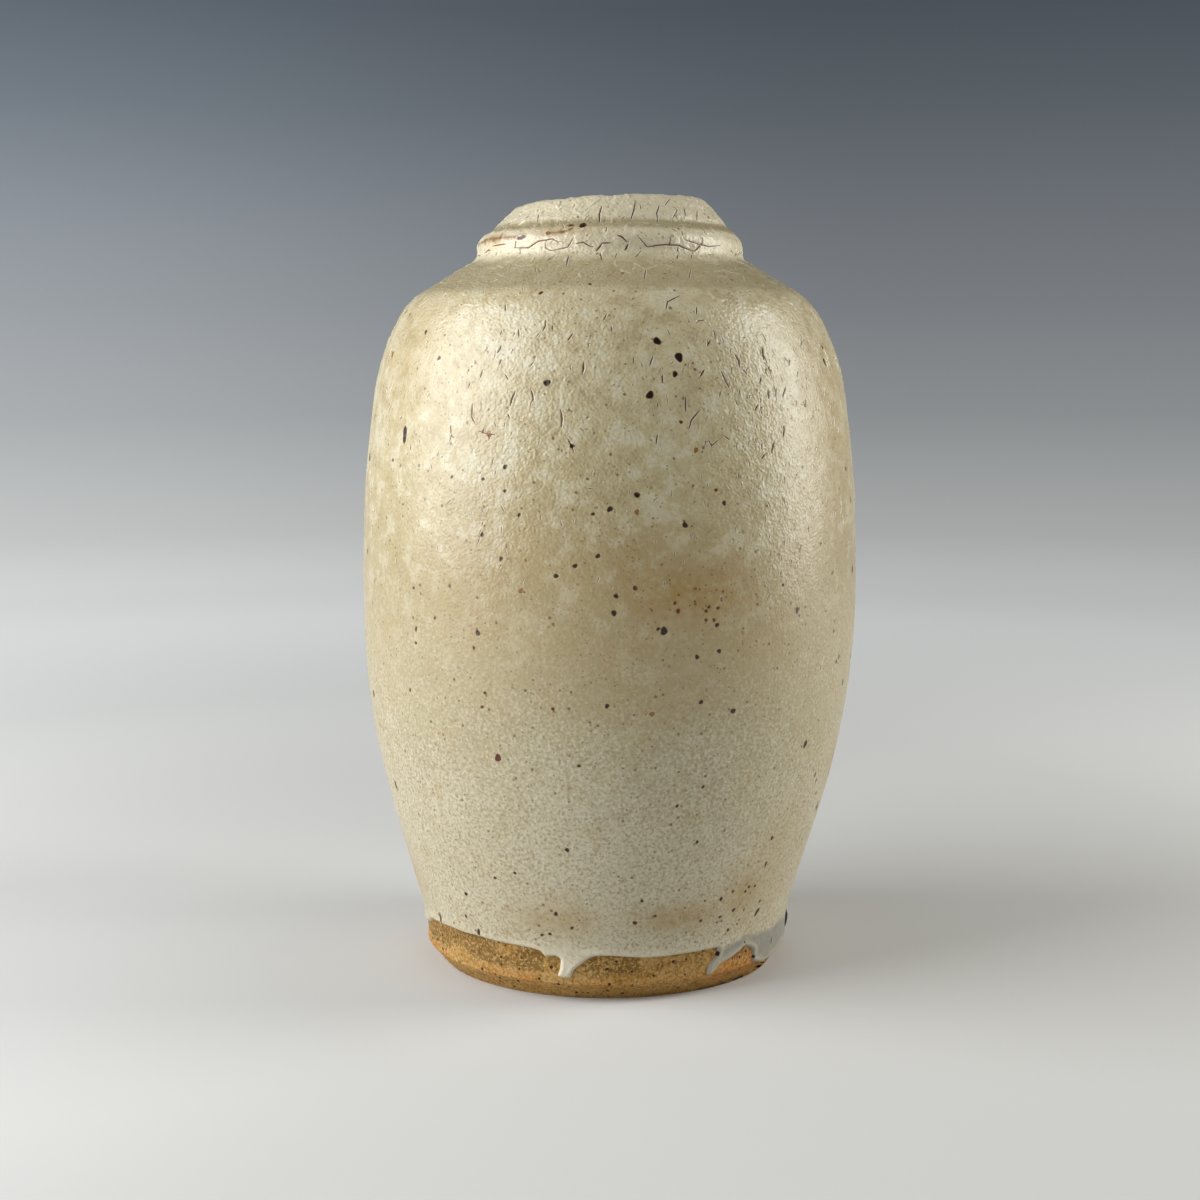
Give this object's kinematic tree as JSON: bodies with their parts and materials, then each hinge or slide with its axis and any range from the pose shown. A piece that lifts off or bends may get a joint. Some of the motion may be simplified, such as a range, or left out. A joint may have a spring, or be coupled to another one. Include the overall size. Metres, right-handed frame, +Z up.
{
  "type": "stoneware jar",
  "caption": "Tall shouldered stoneware jar with a short coned collar and open mouth, crawled cream glaze with iron specks, and a bare clay foot.",
  "frame": {"origin": "centre of the foot on the surface the jar stands on", "axes": "+Z up along the jar's axis; -Y is the front, where the small glaze drip is; +X is the viewer's right, where the wide run is"},
  "size_m": [0.1549, 0.1548, 0.2368],
  "materials": {
    "bare_clay": "matte, gritty, iron-toasted",
    "clay_body": "matte, hidden under glaze",
    "slip": "matte, hidden under glaze",
    "cream_glaze": "satin, mottled and crawled, iron specks",
    "liner_glaze": "satin, thin",
    "glaze_run": "glossy, pooled, bluish grey",
    "slag": "glassy, near black"
  },
  "bodies": {
    "root": {"lower_bowl": "bare_clay", "belly_slip_seam": "slip", "upper_bowl": "clay_body", "neck_slip_seam": "slip", "collar": "clay_body", "body_glaze": "cream_glaze", "collar_glaze": "cream_glaze", "inner_glaze": "liner_glaze", "front_glaze_drip": "glaze_run", "side_glaze_run": "glaze_run", "kiln_slag_bead": "slag"}
  },
  "joints": []
}
